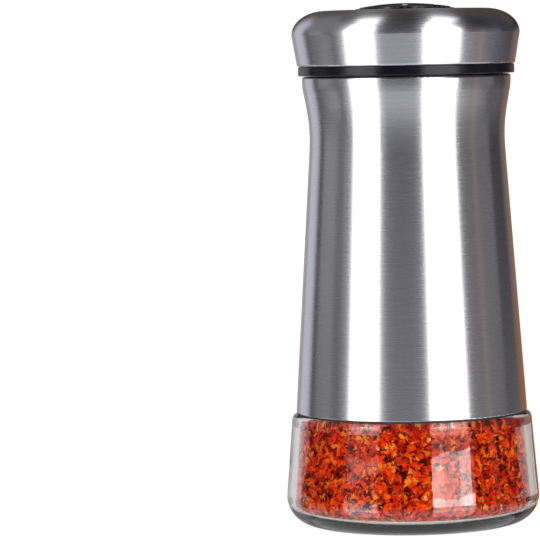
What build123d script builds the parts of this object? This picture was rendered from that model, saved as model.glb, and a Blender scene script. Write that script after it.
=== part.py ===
from build123d import *
import os
from math import acos, atan2, cos, degrees, hypot, sin, sqrt

os.makedirs("parts", exist_ok=True)

# A spice shaker with a screw cap and a turning dial, in millimetres.
# The origin is the middle of the ring that the jar stands on, +Z is up and the front faces -Y.

# Jar foot, the bare glass
base_radius = 30.0  # the widest point
foot_taper = 1.65  # how much narrower the ledge is
heel_round = 6.6
ledge_height = 26.4
ledge_width = 0.95  # bare glass outside the sleeve
ledge_round = 1.6
glass_wall = 1.8
inner_ledge_round = 5.0
floor_thickness = 3.3
floor_corner = 2.5
bearing_width = 1.6  # flat of the ring that it stands on
punt_depth = 1.3
stipple_count = 80  # notches across the bearing ring
stipple_radius = 0.3
stipple_length = 2.6

# Sleeve: a cone, a waist and a flare, with its lip rolled in and stepped down
sleeve_length = 79.5
sleeve_top_radius = 24.68
sheet = 0.5
waist_inset = 1.85  # from the top's radius to where the cone and the flare meet
waist_drop = 12.3  # below the sleeve's top
waist_round = 40.0
flare_drop = 2.3  # from the sleeve's top to the end of the flare
flare_round = 14.0
sleeve_gap = 0.7  # glass to sleeve
lip_inset = 1.5  # from the sleeve's side to the step of its lip
lip_drop = 1.0
lip_reach = 4.1  # from the sleeve's side to the lip's free edge
lip_inner = 0.2  # inside radius where the sleeve turns in
lip_foot_round = 0.3
sleeve_foot_edge = 0.25  # rounding of the cut edge at its foot
foot_ring_height = 0.35
foot_ring_inset = 0.12
foot_ring_gap = 0.3  # glass to ring

# Neck and its thread: three starts, right hand
neck_inset = 5.68  # from the sleeve's top radius to the neck
neck_wall = 2.8
neck_foot_round = 0.5
glass_shoulder_drop = 3.5  # from the sleeve's top to the glass shoulder
glass_shoulder_round = 2.4
shoulder_rise = 0.8  # from the shoulder's edge up to the neck
rim_round = 0.7
bead_depth = 1.15
bead_height = 1.0
thread_starts = 3
thread_lead = 12.0
thread_depth = 1.1
thread_base = 1.8
thread_crest = 0.8
thread_clearance = 0.3
thread_root = 0.2  # how far a ridge reaches into its wall
jar_thread_turns = 0.5
cap_thread_turns = 0.45
neck_ring_flange = 0.7
neck_ring_barrel = 1.6
neck_ring_wall = 1.2
neck_ring_gap = 0.1  # glass to ring, and ring to bead
neck_ring_inset = 0.3  # flange to the sleeve's step

# Cap
band_gap = 0.15  # sleeve to cap
band_height = 2.15
band_overhang = 0.87  # outside the sleeve's top
band_round = 0.3
dust_lip_depth = 0.3  # below the band, inside the sleeve's roll
dust_lip_height = 0.8
dust_lip_wall = 0.6
hem_gap = 0.05  # band to steel
cap_overhang = 0.17  # steel outside the band
cap_flare = 1.23  # from the cap's foot to its crease
cap_skirt_height = 7.4
cap_shoulder_width = 7.95
cap_shoulder_height = 5.7
cap_hem = 0.85
bend_inner = 0.1  # inside radius of a bend in the sheet
opening_radius = 11.95
opening_lip = 0.9
liner_gap = 0.6  # liner to the inside of the shoulder
liner_wall = 1.3
liner_web = 1.6  # from the deck down to the gap behind the skirt
skirt_wall = 1.4
skirt_lift = 0.7  # from the band's underside to the threaded skirt
groove_gap = 0.12  # liner to hem
snap_bead = 0.32  # how far the bead stands over the hem
snap_bead_height = 0.9
deck_thickness = 1.6
deck_gap = 0.2  # deck to the plate's boss
gasket_thickness = 1.2
gasket_gap = 0.3

# Pour plate: five stations, and the first one, at the back, is blank
station_count = 5
plate_flange_inset = 2.2  # from the end of the cap's flat top
plate_flange_thickness = 1.6
boss_overhang = 0.65  # from the opening to the boss under the flange
plate_thickness = 1.6
recess_depth = 1.6  # from the top of the bezel
bezel_rise = 0.3  # above the steel
bezel_gap = 0.25
bezel_wall = 0.65
bezel_round = 0.25
lip_groove_gap = 0.2
hole_inset = 1.4  # from the window's outer edge to the outer ring of holes
hole_ring_pitch = 2.7
fine_hole = 1.0
fine_spacing = 14.0
medium_hole = 1.7
medium_spacing = 17.0
coarse_hole = 2.4
coarse_spacing = 24.0
slot_margin = 0.6  # from the pour slot to the window's edges
slot_angle = 14.0
detent_inset = 0.75  # from the dial's edge to the ring of dimples
detent_radius = 0.6
dimple_depth = 0.2
bump_height = 0.1

# Dial
dial_crown_rise = 1.5  # above the steel
dial_edge_rise = 0.55  # above the steel
dial_gap = 0.3  # dial to bezel
dial_lift = 0.15  # dial to plate
dial_edge_round = 0.25
flute_count = 40
flute_radius = 0.4
flute_depth = 0.22
window_half_angle = 28.0
window_inner = 3.7
window_rim = 1.75  # from the window to the dial's edge
window_round = 0.6
hub_radius = 2.3
hub_clearance = 0.08
hub_end_gap = 0.1  # hub's end to the plate's underside
screw_radius = 1.2
screw_fit = 0.02
screw_length = 3.0  # inside the dial
screw_tip_gap = 0.2
screw_tip_chamfer = 0.4
screw_head_radius = 2.4
screw_head_height = 1.3
screw_head_round = 0.6
screw_slot_width = 0.6
screw_slot_depth = 0.6
washer_radius = 3.6
washer_hole = 0.1  # washer to screw
washer_sheet = 0.25
washer_dish = 0.35

# Contents
fill_level = 70.0
fill_gap = 0.1
fill_crown = 1.5

# Heights
sleeve_foot = ledge_height + foot_ring_height
sleeve_top = sleeve_foot + sleeve_length
waist_level = sleeve_top - waist_drop
flare_level = sleeve_top - flare_drop
lip_level = sleeve_top - lip_drop
glass_shoulder = sleeve_top - glass_shoulder_drop
neck_foot = glass_shoulder + shoulder_rise
bead_foot = lip_level + neck_ring_flange + neck_ring_gap
bead_top = bead_foot + bead_height
band_foot = sleeve_top + band_gap
band_top = band_foot + band_height
cap_foot = band_top + hem_gap
crease_level = cap_foot + cap_skirt_height
cap_top = crease_level + cap_shoulder_height
plate_flange_top = cap_top - sheet
plate_flange_foot = plate_flange_top - plate_flange_thickness
deck_foot = plate_flange_foot - deck_thickness
rim_level = deck_foot - gasket_thickness
skirt_foot = band_foot + skirt_lift
bezel_top = cap_top + bezel_rise
plate_floor = bezel_top - recess_depth
plate_foot = plate_floor - plate_thickness
dial_foot = plate_floor + dial_lift
dial_edge = cap_top + dial_edge_rise
dial_crown = cap_top + dial_crown_rise
hub_foot = plate_foot + hub_end_gap
screw_seat = plate_foot - washer_dish - washer_sheet

# Radii
ledge_edge_radius = base_radius - foot_taper
sleeve_foot_radius = ledge_edge_radius - ledge_width
waist_radius = sleeve_top_radius - waist_inset
step_radius = sleeve_top_radius - lip_inset
neck_radius = sleeve_top_radius - neck_inset
neck_bore = neck_radius - neck_wall
band_radius = sleeve_top_radius + band_overhang
cap_foot_radius = band_radius + cap_overhang
cap_crease_radius = cap_foot_radius + cap_flare
cap_flat_radius = cap_crease_radius - cap_shoulder_width
hem_radius = cap_foot_radius - cap_hem
skirt_bore = neck_radius + thread_depth + thread_clearance
skirt_radius = skirt_bore + skirt_wall
plate_flange_radius = cap_flat_radius - plate_flange_inset
bezel_radius = opening_radius - bezel_gap
recess_radius = bezel_radius - bezel_wall
dial_radius = recess_radius - dial_gap
plate_boss_radius = opening_radius + boss_overhang
window_outer = dial_radius - window_rim
detent_ring = dial_radius - detent_inset
hole_outer_ring = window_outer - hole_inset
hole_inner_ring = hole_outer_ring - hole_ring_pitch
slot_radius = (window_inner + window_outer) / 2
slot_width = window_outer - window_inner - 2 * slot_margin
bend_round = sheet + bend_inner
station_angle = 360 / station_count
back = 90  # the direction of the blank station, from +X


def cone_point(height, inset):
    """A point of the sleeve's cone, moved inwards."""
    slope = (sleeve_foot_radius - waist_radius) / (waist_level - sleeve_foot)
    return (sleeve_foot_radius - slope * (height - sleeve_foot) - inset, height)


def flare_point(height, inset):
    """A point of the flare above the waist, moved inwards."""
    slope = waist_inset / (flare_level - waist_level)
    return (waist_radius + slope * (height - waist_level) - inset, height)


def thread_ridge(radius, depth, foot):
    """One helical ridge on a wall of this radius. A negative depth points inwards."""
    turns = jar_thread_turns if depth > 0 else cap_thread_turns
    root = thread_root if depth > 0 else -thread_root
    with BuildPart() as ridge:
        with BuildLine() as path:
            Helix(thread_lead, thread_lead * turns, radius, center=(0, 0, foot))
        start = path.line @ 0
        with BuildSketch(Plane(start, x_dir=(start.X, start.Y, 0), z_dir=path.line % 0)):
            Polygon(
                (-root, -thread_base / 2),
                (depth, -thread_crest / 2),
                (depth, thread_crest / 2),
                (-root, thread_base / 2),
                align=None,
            )
        sweep(path=path.line, is_frenet=True)
    return ridge.part


def sphere_over(level, radius, depth):
    """The height of a sphere's middle when it dips this far below a level."""
    return level + radius - depth


# Jar. The foot's taper is tangent to the heel and runs up to the ledge.
heel_middle = base_radius - heel_round
taper_run = ledge_edge_radius - heel_middle
taper_rise = ledge_height - ledge_round - heel_round
taper = atan2(taper_rise, taper_run) - acos(heel_round / hypot(taper_run, taper_rise))
bearing_inner = heel_middle - bearing_width
body_inset = sheet + sleeve_gap
bore_inset = body_inset + glass_wall
inner_foot_radius = heel_middle + heel_round * cos(taper) - glass_wall
inner_ledge_radius = ledge_edge_radius - glass_wall
inner_ledge = ledge_height - ledge_round

jar_thread_foot = bead_top + thread_base / 2 + thread_clearance
jar_ridge = thread_ridge(neck_radius, thread_depth, jar_thread_foot)

with BuildPart() as glass_jar:
    with BuildSketch(Plane.XZ):
        with BuildLine():
            punt = TangentArc((0, punt_depth), (bearing_inner, 0), tangent=(1, 0))
            Line(punt @ 1, (heel_middle, 0))
            heel = CenterArc((heel_middle, heel_round), heel_round, -90, 90 + degrees(taper))
            walls = FilletPolyline(
                heel @ 1,
                (ledge_edge_radius, ledge_height),
                cone_point(ledge_height, body_inset),
                (waist_radius - body_inset, waist_level),
                flare_point(glass_shoulder, body_inset),
                (neck_radius, neck_foot),
                (neck_radius, rim_level),
                (neck_bore, rim_level),
                (neck_bore, neck_foot - glass_wall),
                flare_point(glass_shoulder - glass_wall, bore_inset),
                (waist_radius - bore_inset, waist_level),
                cone_point(ledge_height + glass_wall, bore_inset),
                (inner_ledge_radius, inner_ledge),
                (inner_foot_radius, floor_thickness),
                (0, floor_thickness),
                radius=[
                    ledge_round,
                    foot_ring_gap,
                    waist_round,
                    glass_shoulder_round,
                    neck_foot_round,
                    rim_round,
                    rim_round,
                    neck_foot_round + glass_wall,
                    glass_shoulder_round,
                    waist_round - glass_wall,
                    inner_ledge_round,
                    inner_ledge_round,
                    floor_corner,
                ],
            )
            Line(walls @ 1, punt @ 0)
        make_face()
        with Locations((neck_radius, bead_foot + bead_height / 2)):
            Ellipse(bead_depth, bead_height / 2)
    revolve(axis=Axis.Z)
    with PolarLocations(0, thread_starts):
        add(jar_ridge)
    with PolarLocations(heel_middle - bearing_width / 2, stipple_count):
        Cylinder(stipple_radius, stipple_length, rotation=(0, 90, 0), mode=Mode.SUBTRACT)
glass_jar.part.label = "glass_jar"
export_step(glass_jar.part, "parts/glass_jar.step")

# Sleeve, the ring under it and the ring that clamps its lip
with BuildPart() as steel_sleeve:
    with BuildSketch(Plane.XZ):
        with BuildLine():
            FilletPolyline(
                cone_point(sleeve_foot - sheet, 0),
                (waist_radius, waist_level),
                (sleeve_top_radius, flare_level),
                (sleeve_top_radius, sleeve_top),
                (step_radius, sleeve_top),
                (step_radius, lip_level),
                (sleeve_top_radius - lip_reach, lip_level),
                radius=[waist_round, flare_round, sheet + lip_inner, bend_round, lip_foot_round],
            )
            offset(amount=sheet, side=Side.LEFT)
        make_face()
    revolve(axis=Axis.Z)
    split(bisect_by=Plane.XY.offset(sleeve_foot), keep=Keep.TOP)
    fillet(steel_sleeve.edges().group_by(Axis.Z)[0].sort_by(SortBy.RADIUS)[-1], sleeve_foot_edge)
steel_sleeve.part.label = "steel_sleeve"
export_step(steel_sleeve.part, "parts/steel_sleeve.step")

with BuildPart() as sleeve_foot_ring:
    with BuildSketch(Plane.XY.offset(ledge_height)):
        Circle(sleeve_foot_radius - foot_ring_inset)
        Circle(cone_point(ledge_height, body_inset - foot_ring_gap)[0], mode=Mode.SUBTRACT)
    extrude(amount=foot_ring_height)
sleeve_foot_ring.part.label = "sleeve_foot_ring"
export_step(sleeve_foot_ring.part, "parts/sleeve_foot_ring.step")

neck_ring_bore = neck_radius + neck_ring_gap
barrel_radius = neck_ring_bore + neck_ring_wall
with BuildPart() as neck_ring:
    with BuildSketch(Plane.XZ):
        with BuildLine():
            Polyline(
                (neck_ring_bore + neck_foot_round, lip_level - neck_ring_barrel),
                (barrel_radius, lip_level - neck_ring_barrel),
                (barrel_radius, lip_level),
                (step_radius - neck_ring_inset, lip_level),
                (step_radius - neck_ring_inset, lip_level + neck_ring_flange),
                (neck_ring_bore, lip_level + neck_ring_flange),
                (neck_ring_bore, lip_level - neck_ring_barrel + neck_foot_round),
                close=True,
            )
        make_face()
    revolve(axis=Axis.Z)
neck_ring.part.label = "neck_ring"
export_step(neck_ring.part, "parts/neck_ring.step")

# Contents, up to a low heap
fill_inset = bore_inset + fill_gap
fill_edge = cone_point(fill_level, fill_inset)
with BuildPart() as chilli_flakes:
    with BuildSketch(Plane.XZ):
        with BuildLine():
            side = FilletPolyline(
                (0, floor_thickness + fill_gap),
                (inner_foot_radius - fill_gap, floor_thickness + fill_gap),
                (inner_ledge_radius - fill_gap, inner_ledge),
                cone_point(ledge_height + glass_wall, fill_inset),
                fill_edge,
                radius=[floor_corner, inner_ledge_round, inner_ledge_round],
            )
            heap = TangentArc((0, fill_level + fill_crown), side @ 1, tangent=(1, 0))
            Line(heap @ 0, side @ 0)
        make_face()
    revolve(axis=Axis.Z)
chilli_flakes.part.label = "chilli_flakes"
export_step(chilli_flakes.part, "parts/chilli_flakes.step")

# Gasket between the rim and the cap's deck
with BuildPart() as rim_gasket:
    with BuildSketch(Plane.XY.offset(rim_level)):
        Circle(skirt_bore - gasket_gap)
        Circle(neck_bore + gasket_gap, mode=Mode.SUBTRACT)
    extrude(amount=gasket_thickness)
rim_gasket.part.label = "rim_gasket"
export_step(rim_gasket.part, "parts/rim_gasket.step")

# Cap shell: a turned-in hem, a flared skirt, an elliptical shoulder and a turned-down opening
with BuildPart() as cap_shell:
    with BuildSketch(Plane.XZ):
        with BuildLine():
            for inset in (0, sheet):
                FilletPolyline(
                    (hem_radius, cap_foot + inset),
                    (cap_foot_radius - inset, cap_foot + inset),
                    (cap_crease_radius - inset, crease_level),
                    radius=bend_round - inset,
                )
                EllipticalCenterArc(
                    (cap_flat_radius, crease_level),
                    cap_shoulder_width - inset,
                    cap_shoulder_height - inset,
                    arc_size=90,
                )
                FilletPolyline(
                    (cap_flat_radius, cap_top - inset),
                    (opening_radius + inset, cap_top - inset),
                    (opening_radius + inset, cap_top - opening_lip),
                    radius=bend_round - inset,
                )
            Line((hem_radius, cap_foot), (hem_radius, cap_foot + sheet))
            Line((opening_radius, cap_top - opening_lip), (opening_radius + sheet, cap_top - opening_lip))
        make_face()
    revolve(axis=Axis.Z)
cap_shell.part.label = "cap_shell"
export_step(cap_shell.part, "parts/cap_shell.step")

# Cap liner: the band outside, a snap bead over the steel's hem, the deck and the threaded skirt
deck_rise = (plate_flange_foot - crease_level) / (cap_shoulder_height - sheet)
liner_radius = cap_flat_radius + (cap_shoulder_width - sheet) * sqrt(1 - deck_rise**2) - liner_gap
liner_inner = liner_radius - liner_wall
groove_radius = hem_radius - groove_gap
bead_level = cap_foot + sheet + hem_gap
web_level = deck_foot - liner_web
dust_lip_foot = band_foot - dust_lip_depth
dust_lip_bore = liner_inner - dust_lip_wall

cap_thread_foot = skirt_foot + thread_base / 2 + thread_clearance
half_pitch = thread_lead / thread_starts / 2
cap_thread_turn = (cap_thread_foot - jar_thread_foot - half_pitch) * 360 / thread_lead
cap_ridge = thread_ridge(skirt_bore, -thread_depth, cap_thread_foot)

with BuildPart() as cap_liner:
    with BuildSketch(Plane.XZ):
        with BuildLine():
            FilletPolyline(
                (liner_inner, band_foot),
                (band_radius, band_foot),
                (band_radius, band_top),
                (groove_radius, band_top),
                radius=[band_round, band_round],
            )
            Polyline(
                (groove_radius, band_top),
                (groove_radius, bead_level),
                (groove_radius + snap_bead, bead_level),
                (groove_radius + snap_bead, bead_level + snap_bead_height / 2),
                (liner_radius, bead_level + snap_bead_height),
                (liner_radius, plate_flange_foot),
                (plate_boss_radius + deck_gap, plate_flange_foot),
                (plate_boss_radius + deck_gap, deck_foot),
                (skirt_bore, deck_foot),
                (skirt_bore, skirt_foot),
                (skirt_radius, skirt_foot),
                (skirt_radius, web_level),
                (liner_inner, web_level),
                (liner_inner, dust_lip_foot + dust_lip_height),
                (dust_lip_bore, dust_lip_foot + dust_lip_height),
                (dust_lip_bore, dust_lip_foot),
                (liner_inner, dust_lip_foot),
                (liner_inner, band_foot),
            )
        make_face()
    revolve(axis=Axis.Z)
    with Locations(Rotation(0, 0, cap_thread_turn)):
        with PolarLocations(0, thread_starts):
            add(cap_ridge)
cap_liner.part.label = "cap_liner"
export_step(cap_liner.part, "parts/cap_liner.step")

# Pour plate: its flange lies between the deck and the steel, its bezel stands in the opening
lip_groove_radius = opening_radius + sheet + lip_groove_gap
lip_groove_floor = cap_top - opening_lip - lip_groove_gap
hole_groups = [
    (fine_hole, fine_spacing, 3, 2),
    (medium_hole, medium_spacing, 3, 1),
    (coarse_hole, coarse_spacing, 2, 1),
]
with BuildPart() as pour_plate:
    with BuildSketch(Plane.XZ):
        with BuildLine():
            Polyline(
                (0, plate_foot),
                (plate_boss_radius, plate_foot),
                (plate_boss_radius, plate_flange_foot),
                (plate_flange_radius, plate_flange_foot),
                (plate_flange_radius, plate_flange_top),
                (lip_groove_radius, plate_flange_top),
                (lip_groove_radius, lip_groove_floor),
                (bezel_radius, lip_groove_floor),
            )
            FilletPolyline(
                (bezel_radius, lip_groove_floor),
                (bezel_radius, bezel_top),
                (recess_radius, bezel_top),
                (recess_radius, plate_floor),
                radius=bezel_round,
            )
            Polyline(
                (recess_radius, plate_floor),
                (0, plate_floor),
                (0, plate_foot),
            )
        make_face()
    revolve(axis=Axis.Z)
    with BuildSketch(Plane.XY.offset(plate_foot)):
        Circle(hub_radius + hub_clearance)
        for station, (hole, spacing, outer_count, inner_count) in enumerate(hole_groups, 1):
            middle = back + station * station_angle
            for ring, count in ((hole_outer_ring, outer_count), (hole_inner_ring, inner_count)):
                first = middle - spacing * (count - 1) / 2
                with PolarLocations(ring, count, first, spacing * count):
                    Circle(hole / 2)
        pour = back - station_angle
        SlotArc(CenterArc((0, 0), slot_radius, pour - slot_angle / 2, slot_angle), slot_width)
    extrude(amount=plate_thickness, mode=Mode.SUBTRACT)
    dimple_middle = sphere_over(plate_floor, detent_radius, dimple_depth)
    with Locations(Plane.XY.offset(dimple_middle)):
        with PolarLocations(detent_ring, station_count, back):
            Sphere(detent_radius, mode=Mode.SUBTRACT)
pour_plate.part.label = "pour_plate"
export_step(pour_plate.part, "parts/pour_plate.step")

# Dial: a low fluted dome with a fan window, which turns on its hub in the pour plate
window_start = back - window_half_angle
with BuildPart() as dial:
    with BuildSketch(Plane.XZ) as dial_section:
        with BuildLine():
            hub_line = Polyline(
                (0, hub_foot),
                (hub_radius, hub_foot),
                (hub_radius, dial_foot),
                (dial_radius, dial_foot),
                (dial_radius, dial_edge),
            )
            dome = TangentArc((0, dial_crown), hub_line @ 1, tangent=(1, 0))
            Line(dome @ 0, hub_line @ 0)
        make_face()
        rim = dial_section.vertices().group_by(Axis.X)[-1]
        fillet(rim.sort_by(Axis.Y)[-1], dial_edge_round)
    revolve(axis=Axis.Z)
    with BuildSketch(Plane.XY.offset(dial_foot)):
        with PolarLocations(dial_radius + flute_radius - flute_depth, flute_count):
            Circle(flute_radius)
        with BuildLine():
            outer = CenterArc((0, 0), window_outer, window_start, 2 * window_half_angle)
            inner = CenterArc((0, 0), window_inner, window_start, 2 * window_half_angle)
            Line(outer @ 0, inner @ 0)
            Line(outer @ 1, inner @ 1)
        window = make_face()
        fillet(window.vertices(), window_round)
    extrude(amount=dial_crown - dial_foot, mode=Mode.SUBTRACT)
    with BuildSketch(Plane.XY.offset(hub_foot)):
        Circle(screw_radius + screw_fit)
    extrude(amount=screw_length + screw_tip_gap, mode=Mode.SUBTRACT)
    bump_middle = sphere_over(dial_foot, detent_radius, bump_height)
    with Locations((0, detent_ring, bump_middle)):
        Sphere(detent_radius)
dial.part.label = "dial"
export_step(dial.part, "parts/dial.step")

# Conical washer under the plate, and the screw that holds it
with BuildPart() as spring_washer:
    with BuildSketch(Plane.XZ):
        with BuildLine():
            Polyline(
                (washer_radius, plate_foot),
                (washer_radius, plate_foot - washer_sheet),
                (screw_radius + washer_hole, screw_seat),
                (screw_radius + washer_hole, screw_seat + washer_sheet),
                close=True,
            )
        make_face()
    revolve(axis=Axis.Z)
spring_washer.part.label = "spring_washer"
export_step(spring_washer.part, "parts/spring_washer.step")

with BuildPart() as dial_screw:
    with BuildSketch(Plane.XY.offset(screw_seat)):
        Circle(screw_head_radius)
    extrude(amount=-screw_head_height)
    fillet(dial_screw.edges().group_by(Axis.Z)[0], screw_head_round)
    with BuildSketch(Plane.XY.offset(screw_seat)):
        Circle(screw_radius)
    extrude(amount=hub_foot + screw_length - screw_seat)
    chamfer(dial_screw.edges().group_by(Axis.Z)[-1], screw_tip_chamfer)
    with BuildSketch(Plane.XY.offset(screw_seat - screw_head_height)):
        Rectangle(screw_slot_width, screw_head_radius)
        Rectangle(screw_head_radius, screw_slot_width)
    extrude(amount=screw_slot_depth, mode=Mode.SUBTRACT)
dial_screw.part.label = "dial_screw"
export_step(dial_screw.part, "parts/dial_screw.step")
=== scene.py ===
import math

import bpy
import numpy as np
from mathutils import Matrix, Vector
from mathutils.bvhtree import BVHTree


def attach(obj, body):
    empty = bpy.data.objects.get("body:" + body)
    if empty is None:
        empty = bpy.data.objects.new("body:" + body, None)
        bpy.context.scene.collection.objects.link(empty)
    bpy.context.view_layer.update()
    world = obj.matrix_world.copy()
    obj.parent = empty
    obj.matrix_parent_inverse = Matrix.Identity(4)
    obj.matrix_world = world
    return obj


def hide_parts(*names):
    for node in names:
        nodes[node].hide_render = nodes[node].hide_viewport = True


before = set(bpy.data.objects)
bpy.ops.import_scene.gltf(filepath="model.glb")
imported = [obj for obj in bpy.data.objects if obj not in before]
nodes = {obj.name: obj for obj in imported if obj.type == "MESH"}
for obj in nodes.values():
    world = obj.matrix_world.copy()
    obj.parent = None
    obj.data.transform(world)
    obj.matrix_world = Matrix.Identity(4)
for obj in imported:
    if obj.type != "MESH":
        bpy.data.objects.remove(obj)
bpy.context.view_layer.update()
mm = 0.001
print("frame loaded:", len(nodes), "nodes")


# Small helpers

def linear(hexColour, alpha=1.0):
    # an sRGB hex colour as the linear value that the shaders take
    parts = [int(hexColour[i:i + 2], 16) / 255 for i in (1, 3, 5)]
    return tuple(c / 12.92 if c <= 0.04045 else ((c + 0.055) / 1.055) ** 2.4 for c in parts) + (alpha,)


def addNode(tree, kind, values=None, links=None, **settings):
    # one shader node with its settings, its unlinked values and its links
    node = tree.nodes.new(kind)
    for name, value in settings.items():
        setattr(node, name, value)
    for name, value in (values or {}).items():
        node.inputs[name].default_value = value
    for name, source in (links or {}).items():
        tree.links.new(source, node.inputs[name])
    return node


def newMaterial(name, values):
    # a material with one Principled shader, and the values that are the same all over it
    material = bpy.data.materials.new(name)
    material.use_nodes = True
    tree = material.node_tree
    tree.nodes.clear()
    shader = addNode(tree, "ShaderNodeBsdfPrincipled", values)
    output = addNode(tree, "ShaderNodeOutputMaterial", links={"Surface": shader.outputs[0]})
    return material, tree, shader, output


def noiseAt(tree, scale, detail=2.0, roughness=0.5, vector=None):
    # noise whose scale is a real size in metres, in the object's own space
    if vector is None:
        vector = addNode(tree, "ShaderNodeTexCoord").outputs["Object"]
    values = {"Scale": 1 / scale, "Detail": detail, "Roughness": roughness}
    return addNode(tree, "ShaderNodeTexNoise", values, {"Vector": vector}).outputs["Fac"]


def twoColours(tree, factor, low, high, start=0.35, end=0.65):
    # a blend between two hex colours as a pattern goes from start to end
    ramp = addNode(tree, "ShaderNodeValToRGB", links={"Fac": factor})
    ramp.color_ramp.elements[0].position = start
    ramp.color_ramp.elements[0].color = linear(low)
    ramp.color_ramp.elements[1].position = end
    ramp.color_ramp.elements[1].color = linear(high)
    return ramp.outputs["Color"]


def meshObject(name, vertices, faces, material, body):
    mesh = bpy.data.meshes.new(name)
    mesh.from_pydata(vertices, [], faces)
    mesh.update()
    thing = bpy.data.objects.new(name, mesh)
    bpy.context.scene.collection.objects.link(thing)
    mesh.materials.append(material)
    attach(thing, body)
    return thing


# Materials

brushing = {
    "lineWidth": 0.16 * mm,  # real lines are about 0.05 mm, drawn coarse enough to show
    "lineLength": 18 * mm,
    "lineDepth": 0.0003 * mm,
    "roughest": 0.276,
    "smoothest": 0.266,
    "colour": "#cdcdd1",
    "worn": "#c9c9cd",
}


def brushedStainlessSteel(name):
    # Stainless sheet, brushed while it turned on a lathe. The fine rings round the axis stretch each
    # reflection up and down, and leave its sides nearly sharp with a hairline fringe.
    material, tree, shader, _ = newMaterial(name, {
        "Metallic": 1.0,
        "Anisotropic": 0.85,
        "Anisotropic Rotation": 0.25,
    })
    place = addNode(tree, "ShaderNodeTexCoord").outputs["Object"]
    axes = addNode(tree, "ShaderNodeSeparateXYZ", links={"Vector": place}).outputs
    flat = addNode(tree, "ShaderNodeVectorMath", {1: (1, 1, 0)}, {0: place}, operation="MULTIPLY")
    radius = addNode(tree, "ShaderNodeVectorMath", links={0: flat.outputs[0]}, operation="LENGTH")
    climb = addNode(tree, "ShaderNodeMath", links={0: axes["Z"], 1: radius.outputs["Value"]},
                    operation="SUBTRACT")
    along = 1 / brushing["lineLength"]
    across = 1 / brushing["lineWidth"]
    x = addNode(tree, "ShaderNodeMath", {1: along}, {0: axes["X"]}, operation="MULTIPLY")
    y = addNode(tree, "ShaderNodeMath", {1: along}, {0: axes["Y"]}, operation="MULTIPLY")
    z = addNode(tree, "ShaderNodeMath", {1: across}, {0: climb.outputs[0]}, operation="MULTIPLY")
    rings = addNode(tree, "ShaderNodeCombineXYZ",
                    links={"X": x.outputs[0], "Y": y.outputs[0], "Z": z.outputs[0]})
    lines = noiseAt(tree, 1.0, 3.0, 0.6, rings.outputs[0])
    rough = addNode(tree, "ShaderNodeMapRange", {
        "From Min": 0.3,
        "From Max": 0.7,
        "To Min": brushing["smoothest"],
        "To Max": brushing["roughest"],
    }, {"Value": lines})
    bump = addNode(tree, "ShaderNodeBump", {"Distance": brushing["lineDepth"]}, {"Height": lines})
    tangent = addNode(tree, "ShaderNodeTangent", direction_type="RADIAL", axis="Z")
    tree.links.new(twoColours(tree, lines, brushing["worn"], brushing["colour"]), shader.inputs["Base Color"])
    tree.links.new(rough.outputs[0], shader.inputs["Roughness"])
    tree.links.new(bump.outputs[0], shader.inputs["Normal"])
    tree.links.new(tangent.outputs[0], shader.inputs["Tangent"])
    return material


def pressedSodaLimeGlass():
    # Clear pressed glass. Its walls are a little wavy from the mould, which bends what shows behind them.
    # Lamps and the light of the room reach the contents through it, by its transparent side.
    material, tree, shader, output = newMaterial("pressedSodaLimeGlass", {
        "Base Color": linear("#f6faf8"),
        "Roughness": 0.0,
        "IOR": 1.5,
        "Transmission Weight": 1.0,
    })
    waves = noiseAt(tree, 9 * mm, 1.0)
    bump = addNode(tree, "ShaderNodeBump", {"Distance": 0.03 * mm}, {"Height": waves})
    tree.links.new(bump.outputs[0], shader.inputs["Normal"])
    clear = addNode(tree, "ShaderNodeBsdfTransparent", {"Color": linear("#f0f4f2")})
    path = addNode(tree, "ShaderNodeLightPath").outputs
    lamps = addNode(tree, "ShaderNodeMixShader",
                    links={0: path["Is Shadow Ray"], 1: shader.outputs[0], 2: clear.outputs[0]})
    room = addNode(tree, "ShaderNodeMixShader",
                   links={0: path["Is Diffuse Ray"], 1: lamps.outputs[0], 2: clear.outputs[0]})
    tree.links.new(room.outputs[0], output.inputs["Surface"])
    return material


def mouldedPlastic(name, low, high, roughness, grain, depth, gloss=0.5):
    # Injection-moulded ABS. Fine spark-eroded grain breaks the gloss, and its black is slightly blue.
    material, tree, shader, _ = newMaterial(name, {"IOR": 1.53, "Specular IOR Level": gloss})
    spots = noiseAt(tree, grain, 2.0)
    clouds = noiseAt(tree, 20 * grain, 2.0)
    rough = addNode(tree, "ShaderNodeMapRange", {
        "From Min": 0.3,
        "From Max": 0.7,
        "To Min": roughness * 0.8,
        "To Max": roughness * 1.25,
    }, {"Value": clouds})
    bump = addNode(tree, "ShaderNodeBump", {"Distance": depth}, {"Height": spots})
    tree.links.new(twoColours(tree, clouds, low, high), shader.inputs["Base Color"])
    tree.links.new(rough.outputs[0], shader.inputs["Roughness"])
    tree.links.new(bump.outputs[0], shader.inputs["Normal"])
    return material


def milkySilicone():
    # Moulded silicone: soft, milky and nearly matt, with a faint dusting of fines
    material, tree, shader, _ = newMaterial("milkySilicone", {
        "IOR": 1.41,
        "Subsurface Weight": 0.3,
        "Subsurface Radius": (1.0, 1.0, 0.9),
        "Subsurface Scale": 0.8 * mm,
        "Roughness": 0.55,
    })
    dust = noiseAt(tree, 0.6 * mm, 4.0)
    tree.links.new(twoColours(tree, dust, "#d8d6cc", "#e9e7df"), shader.inputs["Base Color"])
    return material


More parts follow.
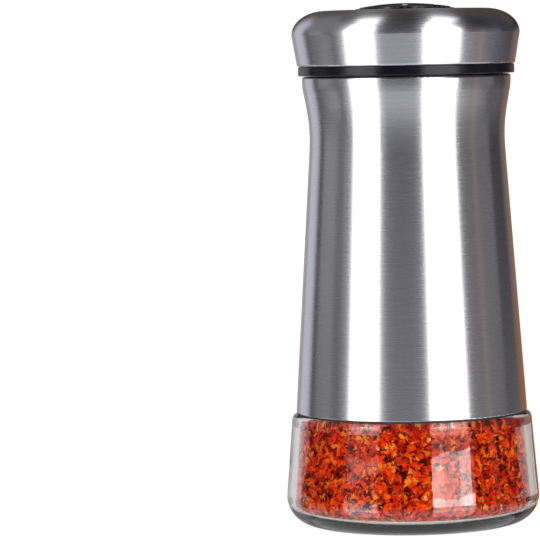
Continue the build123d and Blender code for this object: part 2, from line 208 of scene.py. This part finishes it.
def turnedStainless():
    # Bright turned stainless for the small hardware: tight reflections with faint tool rings
    material, tree, shader, _ = newMaterial("turnedStainless", {"Metallic": 1.0})
    rings = noiseAt(tree, 0.15 * mm, 2.0)
    rough = addNode(tree, "ShaderNodeMapRange", {"To Min": 0.12, "To Max": 0.3}, {"Value": rings})
    tree.links.new(twoColours(tree, rings, "#bdbdc1", "#d2d2d4"), shader.inputs["Base Color"])
    tree.links.new(rough.outputs[0], shader.inputs["Roughness"])
    return material


def padPrintedInk():
    # White pad-printing ink: a thin even film, a little thinner in places, so the black shows as grey
    material, tree, shader, _ = newMaterial("padPrintedInk", {"Roughness": 0.45})
    film = noiseAt(tree, 0.25 * mm, 3.0)
    tree.links.new(twoColours(tree, film, "#c9c9c6", "#efefec"), shader.inputs["Base Color"])
    return material


def driedChilli(name, dark, light, roughness):
    # Dried chilli: wrinkled and leathery, and nearly matt behind the glass. Each flake has a tone of its own
    # and darker veins.
    material, tree, shader, _ = newMaterial(name, {
        "IOR": 1.45,
        "Roughness": roughness,
        "Specular IOR Level": 0.02,
    })
    wrinkles = noiseAt(tree, 0.4 * mm, 3.0, 0.6)
    patches = noiseAt(tree, 0.9 * mm, 2.0)
    tone = addNode(tree, "ShaderNodeAttribute", attribute_name="tone")
    share = addNode(tree, "ShaderNodeMath", {1: 0.5}, {0: patches}, operation="MULTIPLY")
    blend = addNode(tree, "ShaderNodeMath", {1: 0.6}, {0: tone.outputs["Fac"], 2: share.outputs[0]},
                    operation="MULTIPLY_ADD")
    bump = addNode(tree, "ShaderNodeBump", {"Distance": 0.05 * mm}, {"Height": wrinkles})
    tree.links.new(twoColours(tree, blend.outputs[0], dark, light, 0.3, 0.72), shader.inputs["Base Color"])
    tree.links.new(bump.outputs[0], shader.inputs["Normal"])
    return material


steelSheet = brushedStainlessSteel("brushedStainlessSleeve")
steelCap = brushedStainlessSteel("brushedStainlessCap")
glass = pressedSodaLimeGlass()
satinBlack = mouldedPlastic("satinMouldedABS", "#04040a", "#080811", 0.22, 0.12 * mm, 0.004 * mm, gloss=0.3)
glossBlack = mouldedPlastic("glossMouldedABS", "#09090c", "#0f0f14", 0.12, 0.3 * mm, 0.002 * mm)
rubberBlack = mouldedPlastic("mouldedBlackRubber", "#101010", "#1a1918", 0.6, 0.1 * mm, 0.01 * mm)
silicone = milkySilicone()
hardware = turnedStainless()
ink = padPrintedInk()

finishes = {
    "glass_jar": glass,
    "steel_sleeve": steelSheet,
    "cap_shell": steelCap,
    "cap_liner": satinBlack,
    "pour_plate": satinBlack,
    "neck_ring": satinBlack,
    "dial": glossBlack,
    "sleeve_foot_ring": rubberBlack,
    "rim_gasket": silicone,
    "spring_washer": hardware,
    "dial_screw": hardware,
}
for node, finish in finishes.items():
    nodes[node].material_slots[0].material = finish
print("materials assigned:", len(finishes))


# Chilli flakes, scattered on the surface of the fill

chilli = {
    "seed": 11,
    "bareTop": 30 * mm,  # the fill shows through bare glass up to here
    "layers": 2,  # meshes that share the flakes behind the bare glass
    "shown": 8500,  # flakes in each of them
    "hidden": 900,  # behind the sleeve
    "ends": 700,  # on the floor and on the heap
    "length": (0.55 * mm, 1.5 * mm),  # half of a flake's length
    "hiddenLength": (1.2 * mm, 2.4 * mm),
    "widthShare": (0.35, 0.8),
    "thickness": 0.16 * mm,
    "curl": 0.35,
    "tilt": 0.45,  # radians, how far flakes lean off the glass
    "mostTilt": 1.2,
    "rimPoints": 5,
    "depth": 1.9 * mm,  # of the layer that is modelled flake by flake
    "proud": 0.25 * mm,  # flakes that would stand out are pressed flat against the glass
    "crumbs": 2500,
    "crumbLength": (0.15 * mm, 0.35 * mm),
    "crumbWidthShare": (0.5, 0.9),
    "crumbThickness": 0.1 * mm,
    "crumbTilt": 0.6,
    "crumbDepth": 0.5 * mm,
    "seeds": 20,
    "seedLength": (0.6 * mm, 0.95 * mm),
    "seedWidthShare": (0.6, 0.85),
    "seedThickness": 0.4 * mm,
    "seedTilt": 0.3,
    "seedDepth": 0.4 * mm,
    "seedRimPoints": 9,
    "seedKind": 3,  # its place in the list of materials
    "endNormal": 0.9,  # the fill's surface counts as floor or heap from this much of an upright normal
    "coreInset": 1.4 * mm,
    "coreRings": 48,
    "coreAround": 120,
    "coreSway": (-0.5, 0.3),  # mm in and out
    "coreLift": (-0.3, 0.3),  # mm up and down
    "clearance": 0.02 * mm,
}
chilliMaterials = [
    driedChilli("driedChilliSkin", "#b80e00", "#ff3c00", 0.35),
    driedChilli("driedChilliFlesh", "#f03c00", "#ff8018", 0.5),
    driedChilli("driedChilliDark", "#380200", "#8c1200", 0.4),
    driedChilli("driedChilliSeed", "#f08a34", "#ffb468", 0.4),
]
kindShares = (0.54, 0.275, 0.183, 0.002)


def fillProfile():
    # the fill's outline, read from its CAD node: the radius at each height, and the height of the heap
    points = np.array([v.co for v in nodes["chilli_flakes"].data.vertices])
    radius = np.hypot(points[:, 0], points[:, 1])
    low, high = points[:, 2].min(), points[:, 2].max()
    levels = np.unique(np.round(points[:, 2], 7))
    widest = np.array([radius[np.abs(points[:, 2] - z) < 1e-6].max() for z in levels])
    edge = radius > widest.max() * 0.5
    rimLevel = points[edge, 2].max()
    keep = levels <= rimLevel + 1e-6
    return levels[keep], widest[keep], low, high, rimLevel


levels, widest, fillLow, fillHigh, fillRim = fillProfile()


def limitToFill(points):
    # pulls points that stand out of the fill back to just inside its surface
    gap = chilli["clearance"]
    radius = np.hypot(points[:, 0], points[:, 1])
    points[:, 2] = np.clip(points[:, 2], fillLow + gap, None)
    allowed = np.interp(points[:, 2], levels, widest) - gap
    scale = np.minimum(1, allowed / np.maximum(radius, 1e-9))
    points[:, 0] *= scale
    points[:, 1] *= scale
    share = np.clip(1 - (radius * scale / widest[-1]) ** 2, 0, 1)
    roof = fillRim + (fillHigh - fillRim) * share - gap
    points[:, 2] = np.minimum(points[:, 2], roof)
    return points


def scatter(rng, count, wanted):
    # random places on the fill's surface, with the outward normal, where wanted(height, normal) is true
    mesh = nodes["chilli_flakes"].data
    mesh.calc_loop_triangles()
    corners = np.array([[mesh.vertices[i].co for i in t.vertices] for t in mesh.loop_triangles])
    sides = np.cross(corners[:, 1] - corners[:, 0], corners[:, 2] - corners[:, 0])
    area = np.linalg.norm(sides, axis=1) / 2
    normal = sides / np.maximum(2 * area[:, None], 1e-15)
    middle = corners.mean(axis=1)
    weight = area * wanted(middle[:, 2], normal)
    picked = rng.choice(len(area), size=count, p=weight / weight.sum())
    a, b = rng.random(count), rng.random(count)
    flip = a + b > 1
    a[flip], b[flip] = 1 - a[flip], 1 - b[flip]
    base = corners[picked]
    place = base[:, 0] + a[:, None] * (base[:, 1] - base[:, 0]) + b[:, None] * (base[:, 2] - base[:, 0])
    return place, normal[picked]


def chipMesh(rng, place, normal, halfLength, widthShare, thickness, curl, tilt, rimCount):
    # Thin curled chips with a sharp rim and a crease: a ring of rim points, and two middle points on
    # each side
    count = len(place)
    spin = rng.random(count) * 2 * np.pi
    helper = np.where(np.abs(normal[:, 2:3]) < 0.9, [[0, 0, 1]], [[1, 0, 0]])
    across = np.cross(helper, normal)
    across /= np.linalg.norm(across, axis=1)[:, None]
    up = np.cross(normal, across)
    first = across * np.cos(spin)[:, None] + up * np.sin(spin)[:, None]
    second = np.cross(normal, first)
    lean = rng.normal(0, tilt, (count, 2))
    slope = np.tan(np.clip(lean, -chilli["mostTilt"], chilli["mostTilt"]))
    third = normal + first * slope[:, :1] + second * slope[:, 1:]
    third /= np.linalg.norm(third, axis=1)[:, None]
    first = first - third * (first * third).sum(axis=1)[:, None]
    first /= np.linalg.norm(first, axis=1)[:, None]
    second = np.cross(third, first)

    angle = (np.arange(rimCount) + rng.uniform(-0.3, 0.3, (count, rimCount))) * 2 * np.pi / rimCount
    reach = rng.uniform(0.6, 1.18, (count, rimCount))
    halfWidth = halfLength * widthShare
    u = np.cos(angle) * reach * halfLength[:, None]
    v = np.sin(angle) * reach * halfWidth[:, None]
    middle = halfLength * rng.uniform(0.2, 0.4, count)
    u = np.column_stack([u, -middle, middle, -middle, middle])
    v = np.column_stack([v, rng.normal(0, 0.15, (count, 2)) * halfWidth[:, None], np.zeros((count, 2))])
    v[:, -2:] = v[:, -4:-2]
    bend = rng.normal(0, curl, (count, 3)) / halfLength[:, None]
    w = bend[:, :1] * u ** 2 + bend[:, 1:2] * v ** 2 * 2 + bend[:, 2:] * u * v
    w[:, -4:-2] += thickness[:, None] / 2
    w[:, -2:] -= thickness[:, None] / 2
    points = (place[:, None] + u[..., None] * first[:, None] + v[..., None] * second[:, None]
              + w[..., None] * third[:, None])

    quarter = rimCount / 4
    left, right, leftUnder, rightUnder = rimCount, rimCount + 1, rimCount + 2, rimCount + 3
    faces = []
    for k in range(rimCount):
        after = (k + 1) % rimCount
        nearRight = min(k + 0.5, rimCount - k - 0.5) < quarter
        faces.append((k, after, right if nearRight else left))
        faces.append((after, k, rightUnder if nearRight else leftUnder))
    for k in range(rimCount):
        before = min(k - 0.5, rimCount - k + 0.5) < quarter
        here = min(k + 0.5, rimCount - k - 0.5) < quarter
        if before != here:
            faces.append((k, right, left) if before else (k, left, right))
            faces.append((k, leftUnder, rightUnder) if before else (k, rightUnder, leftUnder))
    return points, np.array(faces)


def addChips(name, groups, rng):
    # one mesh for many chips, each with one material of the four and a tone of its own
    allPoints, allFaces, kinds, tones, start = [], [], [], [], 0
    for points, faces, kind in groups:
        count, size = points.shape[:2]
        flat = limitToFill(points.reshape(-1, 3).copy())
        allPoints.append(flat)
        shifted = faces[None] + (np.arange(count) * size)[:, None, None] + start
        allFaces.append(shifted.reshape(-1, 3))
        kinds.append(np.repeat(kind, len(faces)))
        tones.append(np.repeat(rng.random(count), len(faces)))
        start += count * size
    vertices = np.concatenate(allPoints)
    triangles = np.concatenate(allFaces)
    thing = meshObject(name, vertices.tolist(), triangles.tolist(), chilliMaterials[0], "jar")
    for extra in chilliMaterials[1:]:
        thing.data.materials.append(extra)
    thing.data.polygons.foreach_set("material_index", np.concatenate(kinds).astype(np.int32))
    tone = thing.data.attributes.new("tone", "FLOAT", "FACE")
    tone.data.foreach_set("value", np.concatenate(tones).astype(np.float32))
    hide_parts("chilli_flakes")
    print(name, "triangles:", len(triangles))
    return thing


def chipGroup(rng, count, wanted, lengths, widths, thickness, tilt, rimCount, kinds=None, layer=None):
    place, normal = scatter(rng, count, wanted)
    halfLength = rng.uniform(*lengths, count)
    depth = rng.random(count) * (layer or chilli["depth"]) - chilli["proud"]
    thick = thickness * rng.uniform(0.6, 1.5, count)
    points, faces = chipMesh(rng, place - normal * depth[:, None], normal, halfLength,
                             rng.uniform(*widths, count), thick, chilli["curl"], tilt, rimCount)
    chosen = rng.choice(4, size=count, p=kindShares) if kinds is None else np.full(count, kinds)
    return points, faces, chosen


def besideBareGlass(height, normal):
    return (np.abs(normal[:, 2]) < chilli["endNormal"]) & (height < chilli["bareTop"])


def besideSleeve(height, normal):
    return (np.abs(normal[:, 2]) < chilli["endNormal"]) & (height >= chilli["bareTop"])


def atTheEnds(height, normal):
    return np.abs(normal[:, 2]) >= chilli["endNormal"]


rng = np.random.default_rng(chilli["seed"])
usual = (chilli["widthShare"], chilli["thickness"], chilli["tilt"], chilli["rimPoints"])
for layer in range(chilli["layers"]):
    shown = chipGroup(rng, chilli["shown"], besideBareGlass, chilli["length"], *usual)
    addChips(f"chilli_flakes_shown_{layer}", [shown], rng)
hidden = [
    chipGroup(rng, chilli["hidden"], besideSleeve, chilli["hiddenLength"], *usual),
    chipGroup(rng, chilli["ends"], atTheEnds, chilli["hiddenLength"], *usual),
]
addChips("chilli_flakes_above", hidden, rng)
crumbs = [
    chipGroup(rng, chilli["crumbs"], besideBareGlass, chilli["crumbLength"], chilli["crumbWidthShare"],
              chilli["crumbThickness"], chilli["crumbTilt"], chilli["rimPoints"], layer=chilli["crumbDepth"]),
    chipGroup(rng, chilli["seeds"], besideBareGlass, chilli["seedLength"], chilli["seedWidthShare"],
              chilli["seedThickness"], chilli["seedTilt"], chilli["seedRimPoints"],
              kinds=chilli["seedKind"], layer=chilli["seedDepth"]),
]
addChips("chilli_crumbs_and_seeds", crumbs, rng)


def addCore():
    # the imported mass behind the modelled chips: the fill's own outline drawn in and roughened
    rings, around = chilli["coreRings"], chilli["coreAround"]
    inset = chilli["coreInset"]
    height = np.linspace(fillLow + inset, fillRim - inset, rings)
    radius = np.interp(height, levels, widest) - inset
    vertices, faces = [], []
    for z, r in zip(height, radius):
        for k in range(around):
            angle = 2 * math.pi * k / around
            reach = r + rng.uniform(*chilli["coreSway"]) * mm
            level = z + rng.uniform(*chilli["coreLift"]) * mm
            vertices.append((reach * math.cos(angle), reach * math.sin(angle), level))
    bottom, top = len(vertices), len(vertices) + 1
    vertices += [(0, 0, fillLow + inset), (0, 0, fillHigh - inset)]
    for ring in range(rings - 1):
        for k in range(around):
            a, b = ring * around + k, ring * around + (k + 1) % around
            faces.append((a, b, b + around, a + around))
    last = (rings - 1) * around
    for k in range(around):
        faces.append((bottom, (k + 1) % around, k))
        faces.append((top, last + k, last + (k + 1) % around))
    # The core takes the dark chilli material all over, so the gaps between the chips show painted shade of
    # the deep fill.
    core = meshObject("chilli_core", vertices, faces, chilliMaterials[2], "jar")
    tone = core.data.attributes.new("tone", "FLOAT", "FACE")
    tone.data.foreach_set("value", rng.random(len(faces)).astype(np.float32))
    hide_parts("chilli_flakes")


addCore()
print("chilli made")


# Printed numbers on the dial and a pointer on the cap

printing = {
    "height": 1.9 * mm,
    "heightShare": 0.7,  # of the font's size that a number fills
    "ringRadius": 7.4 * mm,
    "film": 0.03 * mm,
    "lift": 0.004 * mm,
    "stations": 5,
    "pointerRadius": 14.2 * mm,
    "pointerHeight": 2.0 * mm,
    "pointerWidth": 1.7 * mm,
}


def layOn(node, thing):
    # drops a flat print onto a node's top, point by point
    mesh = nodes[node].data
    tree = BVHTree.FromPolygons([v.co for v in mesh.vertices], [p.vertices for p in mesh.polygons])
    for vertex in thing.data.vertices:
        hit = tree.ray_cast(Vector((vertex.co.x, vertex.co.y, 1.0)), Vector((0, 0, -1)))[0]
        vertex.co.z += hit.z + printing["lift"]


def printedNumber(number):
    curve = bpy.data.curves.new(f"number{number}", "FONT")
    curve.body = str(number)
    curve.align_x, curve.align_y = "CENTER", "CENTER"
    curve.size = printing["height"] / printing["heightShare"]
    curve.extrude = printing["film"] / 2
    curve.resolution_u = 6
    text = bpy.data.objects.new(f"number{number}", curve)
    bpy.context.scene.collection.objects.link(text)
    mesh = bpy.data.meshes.new_from_object(text.evaluated_get(bpy.context.evaluated_depsgraph_get()))
    bpy.data.objects.remove(text)
    centre = sum((v.co for v in mesh.vertices), Vector()) / len(mesh.vertices)
    angle = math.radians(270 - number * 360 / printing["stations"])
    turn = Matrix.Rotation(angle + math.pi / 2, 4, "Z")
    radius = printing["ringRadius"]
    place = Matrix.Translation((radius * math.cos(angle), radius * math.sin(angle), 0))
    mesh.transform(place @ turn @ Matrix.Translation((-centre.x, -centre.y, printing["film"] / 2)))
    thing = bpy.data.objects.new(f"dial_number_{number}", mesh)
    bpy.context.scene.collection.objects.link(thing)
    mesh.materials.clear()
    mesh.materials.append(ink)
    layOn("dial", thing)
    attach(thing, "dial")


def printedPointer():
    width, height, film = printing["pointerWidth"], printing["pointerHeight"], printing["film"]
    y = -printing["pointerRadius"]
    corners = [(-width / 2, y - height / 2), (width / 2, y - height / 2), (0, y + height / 2)]
    vertices = [(a, b, 0) for a, b in corners] + [(a, b, film) for a, b in corners]
    faces = [(2, 1, 0), (3, 4, 5), (0, 1, 4, 3), (1, 2, 5, 4), (2, 0, 3, 5)]
    thing = meshObject("cap_pointer", vertices, faces, ink, "cap")
    layOn("cap_shell", thing)


for number in range(printing["stations"]):
    printedNumber(number)
printedPointer()
print("printing made")


# Studio: a pale floor, two tall softboxes in front, grey flags between them, and a white surround

studio = {
    "white": 0.9,  # the part of the floor's brightness that is even
    "shaded": "#8c8c8c",  # the part that takes light and the jar's shadow
    "floorSize": 12.0,
    "ring": 0.6,  # distance of the flags and softboxes from the jar's axis
    "eyeLevel": 0.11,
    "roof": 0.88,
    "sheetHeight": 0.0005,
}


def stageObject(name, vertices, faces, material, camera=False):
    mesh = bpy.data.meshes.new(name)
    mesh.from_pydata(vertices, [], faces)
    thing = bpy.data.objects.new(name, mesh)
    bpy.context.scene.collection.objects.link(thing)
    mesh.materials.append(material)
    thing.visible_camera = camera
    return thing


def glow(name, colour, strength):
    material = bpy.data.materials.new(name)
    material.use_nodes = True
    tree = material.node_tree
    tree.nodes.clear()
    light = addNode(tree, "ShaderNodeEmission", {"Color": linear(colour), "Strength": strength})
    addNode(tree, "ShaderNodeOutputMaterial", links={"Surface": light.outputs[0]})
    return material


def ontoBearing(bearing, radius, height):
    return (radius * math.sin(bearing), -radius * math.cos(bearing), height)


def stripFaces(steps):
    # the faces of a strip whose vertices come in pairs
    return [(2 * k, 2 * k + 1, 2 * k + 3, 2 * k + 2) for k in range(steps)]


def panel(name, start, end, low, high, colour, strength, ring=None, steps=8):
    # An upright curved card. Start and end are bearings in degrees from the jar, 0 towards the camera and
    # plus to the right. Low and high are its edges in degrees above or below the level of the cap, and an
    # edge that slants is given as the values at its two ends.
    ring = ring or studio["ring"]
    vertices = []
    for k in range(steps + 1):
        bearing = math.radians(start + (end - start) * k / steps)
        for edge in (low, high):
            rise = np.interp(k / steps, (0, 1), edge) if isinstance(edge, tuple) else edge
            height = studio["eyeLevel"] + ring * math.tan(math.radians(rise))
            vertices.append(ontoBearing(bearing, ring, height))
    stageObject(name, vertices, stripFaces(steps), glow(name, colour, strength))


def overhead(name, front, back, colour, strength, drop=0.0):
    # a flat card under the studio's roof: its front and back edges as (y, left x, right x)
    height = studio["roof"] - drop
    corners = [(front[1], front[0], height), (front[2], front[0], height),
               (back[2], back[0], height), (back[1], back[0], height)]
    stageObject(name, corners, [(0, 1, 2, 3)], glow(name, colour, strength))


def floorSheet(name, start, end, near, far, colour, strength, steps=8):
    # A flat card just above the floor, from near to far between two bearings. Only rays that leave through
    # the glass meet it: it stands for the table that the jar's inner wall reflects.
    vertices = []
    for k in range(steps + 1):
        bearing = math.radians(start + (end - start) * k / steps)
        for radius in (near, far):
            vertices.append(ontoBearing(bearing, radius, studio["sheetHeight"]))
    sheet = stageObject(name, vertices, stripFaces(steps), glow(name, colour, strength))
    sheet.visible_glossy = False
    sheet.visible_diffuse = False
    sheet.visible_shadow = False


panel("softboxLeftLow", -65, -32, -40, (-10.9, -9.6), "#ffffff", 3.3)
panel("softboxLeftGapLow", -65, -32, (-10.9, -9.6), (-9.75, -8.6), "#ffffff", 0.12)
panel("softboxLeftMiddle", -65, -32, (-9.75, -8.6), (-9.3, -8.05), "#ffffff", 1.8)
panel("softboxLeftGap", -65, -32, (-9.3, -8.05), (-6.0, -4.6), "#ffffff", 0.3)
panel("softboxLeft", -65, -32, (-6.0, -4.6), 26, "#ffffff", 3.4)
panel("softboxLeftTop", -61, -37, 26, 42, "#ffffff", 11.0)
panel("softboxRightLow", 18, 57, -40, -13, "#ffffff", 3.4)
panel("softboxRightGapLow", 18, 57, -13, (-9.6, -10.5), "#ffffff", 2.2)
panel("softboxRightMiddleA", 18, 29, (-9.6, -9.8), (-7.6, -7.8), "#ffffff", 8.0)
panel("softboxRightMiddleB", 29, 45, (-9.8, -10.2), (-7.8, -8.3), "#ffffff", 5.6)
panel("softboxRightMiddleC", 45, 57, (-10.2, -10.5), (-8.3, -8.5), "#ffffff", 9.6)
panel("softboxRightGap", 18, 57, (-7.6, -8.5), (-4.3, -5.7), "#ffffff", 0.7)
panel("softboxRight", 18, 57, (-4.3, -5.7), 28, "#ffffff", 3.4)
panel("softboxRightTop", 27, 49, 28, 50, "#ffffff", 11.0)
panel("tableFront", -32, 18, -40, -18, "#f5f4ff", 0.83)
panel("shadeFront", -32, 18, -18, 0, "#f5f4ff", 0.355)
panel("slotFront", -32, 18, (-14.0, -13.0), (-4.6, -4.2), "#f4f4ff", 0.04, ring=0.59)
panel("slotLeft", -118, -65, (-20.0, -16.0), (-9.0, -5.8), "#f4f4ff", 0.04, ring=0.59)
panel("slotRight", 57, 112, (-16.0, -20.0), (-5.4, -8.4), "#f4f4ff", 0.04, ring=0.59)
panel("flagFront", -32, 18, 0, 52, "#f4f4ff", 0.10)
panel("tableLeftLow", -126, -65, -40, -10, "#fbf9fb", 0.82)
panel("tableLeft", -126, -65, -10, 12, "#fbf9fb", 0.42)
panel("wallLeft", -126, -65, 12, 52, "#fbf9fb", 0.27)
panel("flagLeftLow", -84, -76, -40, -8, "#f4f4ff", 0.06, ring=0.55)
panel("flagLeft", -88, -77, -8, 12, "#f4f4ff", 0.2, ring=0.55)
panel("lineLeft", -122, -113, -40, 12, "#f4f4ff", 0.06, ring=0.55)
panel("screenLeft", -147, -126, -40, 30, "#ecebf8", 0.85)
panel("screenLeftHigh", -147, -126, 30, 52, "#ecebf8", 0.3)
panel("edgeLeft", -158, -147, -40, 30, "#ece4e4", 0.5)
panel("edgeLeftHigh", -158, -147, 30, 52, "#ece4e4", 0.2)
panel("tableRightLow", 57, 110, -40, -12, "#fdf8fa", 0.72)
panel("tableRight", 57, 110, -12, -2, "#fdf8fa", 0.4)
panel("boardDimRight", 57, 110, -2, 12, "#fdf8fa", 0.19)
panel("wallRight", 57, 110, 12, 30, "#fff8f4", 0.07)
panel("wallRightHigh", 57, 110, 30, 52, "#fff8f4", 0.03)
panel("lineRight", 80, 84, -40, 12, "#ffe2cc", 0.42, ring=0.55)
panel("flagRightLow", 110, 138, -40, -10, "#f4f4ff", 0.24)
panel("flagRight", 110, 138, -10, 52, "#f4f4ff", 0.07)
panel("boardRightLow", 138, 172, -26, -10, "#e08c50", 0.55)
panel("footRight", 138, 172, -40, -26, "#e4e0e6", 0.5)
panel("boardRight", 150, 172, -10, 4, "#dca884", 0.48)
panel("greyRight", 138, 150, -10, 4, "#f4f4ff", 0.2)
panel("sillRight", 138, 180, 4, 14, "#f4f4ff", 0.03)
panel("boardLeft", -172, -158, -40, 4, "#e6dcd8", 0.62)
panel("sillLeft", -180, -158, 4, 14, "#f4f4ff", 0.03)
panel("hoodRight", 138, 180, 14, 52, "#f0e6dc", 0.1)
panel("hoodLeft", -180, -158, 14, 52, "#f0e6dc", 0.1)
floorSheet("sheetLeft", -117, -66, 0.13, 0.585, "#f4f4ff", 0.04)
floorSheet("sheetLeftFar", -146, -118, 0.06, 0.59, "#f2e8ec", 0.8)
floorSheet("sheetRight", 60, 117, 0.13, 0.585, "#f4f4ff", 0.04)
floorSheet("sheetRightFar", 118, 140, 0.06, 0.59, "#f0e8e2", 0.75)
overhead("roofLeft", (-0.75, -0.75, 0.0), (0.75, -0.75, 0.0), "#fff6ee", 0.06)
overhead("roofRight", (-0.75, 0.0, 0.75), (0.75, 0.0, 0.75), "#fff6ee", 0.03)
overhead("stripLeft", (-0.45, -0.58, -0.34), (0.12, -0.36, -0.13), "#ffffff", 2.4, drop=0.02)
overhead("stripRight", (-0.45, 0.30, 0.62), (0.12, 0.16, 0.41), "#ffffff", 2.4, drop=0.02)


def addFloor():
    half = studio["floorSize"]
    material = bpy.data.materials.new("paleFloor")
    material.use_nodes = True
    tree = material.node_tree
    tree.nodes.clear()
    matt = addNode(tree, "ShaderNodeBsdfDiffuse", {"Color": linear("#f4f4f4")})
    faint = addNode(tree, "ShaderNodeBsdfDiffuse", {"Color": linear(studio["shaded"])})
    white = addNode(tree, "ShaderNodeEmission", {"Strength": studio["white"]})
    shown = addNode(tree, "ShaderNodeAddShader", links={0: faint.outputs[0], 1: white.outputs[0]})
    path = addNode(tree, "ShaderNodeLightPath").outputs
    mix = addNode(tree, "ShaderNodeMixShader",
                  links={0: path["Is Camera Ray"], 1: matt.outputs[0], 2: shown.outputs[0]})
    addNode(tree, "ShaderNodeOutputMaterial", links={"Surface": mix.outputs[0]})
    corners = [(-half, -half, 0), (half, -half, 0), (half, half, 0), (-half, half, 0)]
    floor = stageObject("floor", corners, [(0, 1, 2, 3)], material, camera=True)
    floor.visible_glossy = False  # the steel shows the white surround and the cards there instead


addFloor()
world = bpy.data.worlds.new("whiteSurround")
world.use_nodes = True
world.node_tree.nodes["Background"].inputs["Color"].default_value = (1, 1, 1, 1)
world.node_tree.nodes["Background"].inputs["Strength"].default_value = 1.0
bpy.context.scene.world = world


# Camera

lens = {
    "distance": 0.800,  # from the jar's axis
    "height": 0.1128,
    "focalPixels": 3376,
    "imageWidth": 540,
    "axisPixel": 409.6,  # the bearing of the jar's axis
    "horizonPixel": 49.9,
    "roll": -1.12,  # degrees
}


def addCamera():
    data = bpy.data.cameras.new("camera")
    data.sensor_width = 36.0
    data.lens = lens["focalPixels"] / lens["imageWidth"] * data.sensor_width
    data.clip_start, data.clip_end = 0.05, 100
    camera = bpy.data.objects.new("camera", data)
    bpy.context.scene.collection.objects.link(camera)
    middle = lens["imageWidth"] / 2
    yaw = math.atan((lens["axisPixel"] - middle) / lens["focalPixels"])
    pitch = math.atan((middle - lens["horizonPixel"]) / lens["focalPixels"])
    turn = (Matrix.Rotation(yaw, 4, "Z") @ Matrix.Rotation(math.pi / 2 - pitch, 4, "X")
            @ Matrix.Rotation(math.radians(lens["roll"]), 4, "Z"))
    camera.matrix_world = Matrix.Translation((0, -lens["distance"], lens["height"])) @ turn
    bpy.context.scene.camera = camera


addCamera()
bpy.context.scene.cycles.caustics_refractive = False
bpy.context.scene.cycles.caustics_reflective = False
bpy.context.scene.view_settings.view_transform = "Standard"
print("studio and camera made")
